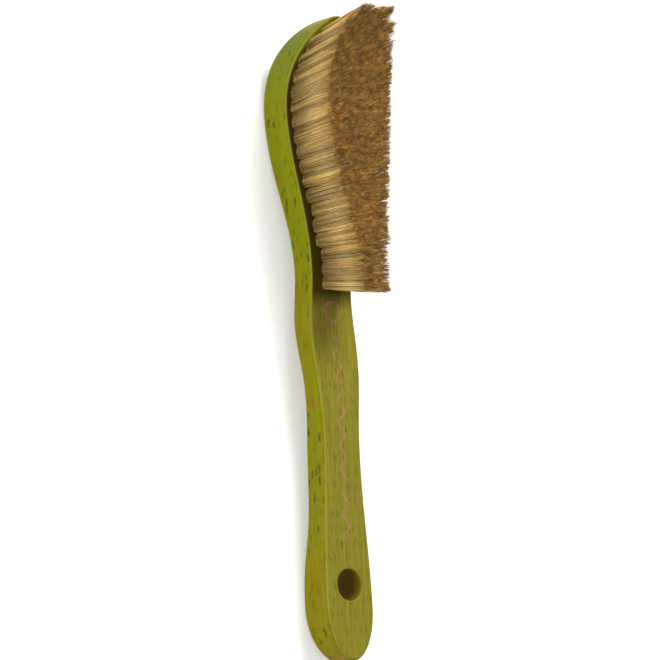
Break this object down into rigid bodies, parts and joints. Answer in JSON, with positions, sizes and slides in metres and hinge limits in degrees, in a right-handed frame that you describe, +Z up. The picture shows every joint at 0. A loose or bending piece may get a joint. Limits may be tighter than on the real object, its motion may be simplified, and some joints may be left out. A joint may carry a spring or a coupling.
{
  "type": "natural-bristle hand brush",
  "caption": "Wooden hand brush with a curved head of natural bristle tufts set in blind holes over steel anchors, a slim flat handle and a round hanging hole.",
  "frame": {"origin": "under the middle of the whole brush, in the plane that it lies on with its back down", "axes": "+X along the brush towards the handle's end, -X towards the toe of the head; +Y across it; +Z up, out of the bristle face"},
  "size_m": [0.209, 0.0282, 0.0458],
  "materials": {
    "stained_beech": "stained green, clear satin lacquer",
    "bristle": "natural hog bristle, cut ends darker",
    "anchor_steel": "flat drawn wire"
  },
  "bodies": {
    "root": {"anchor_row_01": "anchor_steel", "anchor_row_02": "anchor_steel", "anchor_row_03": "anchor_steel", "anchor_row_04": "anchor_steel", "anchor_row_05": "anchor_steel", "anchor_row_06": "anchor_steel", "anchor_row_07": "anchor_steel", "anchor_row_08": "anchor_steel", "anchor_row_09": "anchor_steel", "anchor_row_10": "anchor_steel", "anchor_row_11": "anchor_steel", "anchor_row_12": "anchor_steel", "anchor_row_13": "anchor_steel", "anchor_row_14": "anchor_steel", "anchor_row_15": "anchor_steel", "anchor_row_16": "anchor_steel", "anchor_row_17": "anchor_steel", "anchor_row_18": "anchor_steel", "handle": "stained_beech", "tuft_row_01": "bristle", "tuft_row_02": "bristle", "tuft_row_03": "bristle", "tuft_row_04": "bristle", "tuft_row_05": "bristle", "tuft_row_06": "bristle", "tuft_row_07": "bristle", "tuft_row_08": "bristle", "tuft_row_09": "bristle", "tuft_row_10": "bristle", "tuft_row_11": "bristle", "tuft_row_12": "bristle", "tuft_row_13": "bristle", "tuft_row_14": "bristle", "tuft_row_15": "bristle", "tuft_row_16": "bristle", "tuft_row_17": "bristle", "tuft_row_18": "bristle"}
  },
  "joints": []
}
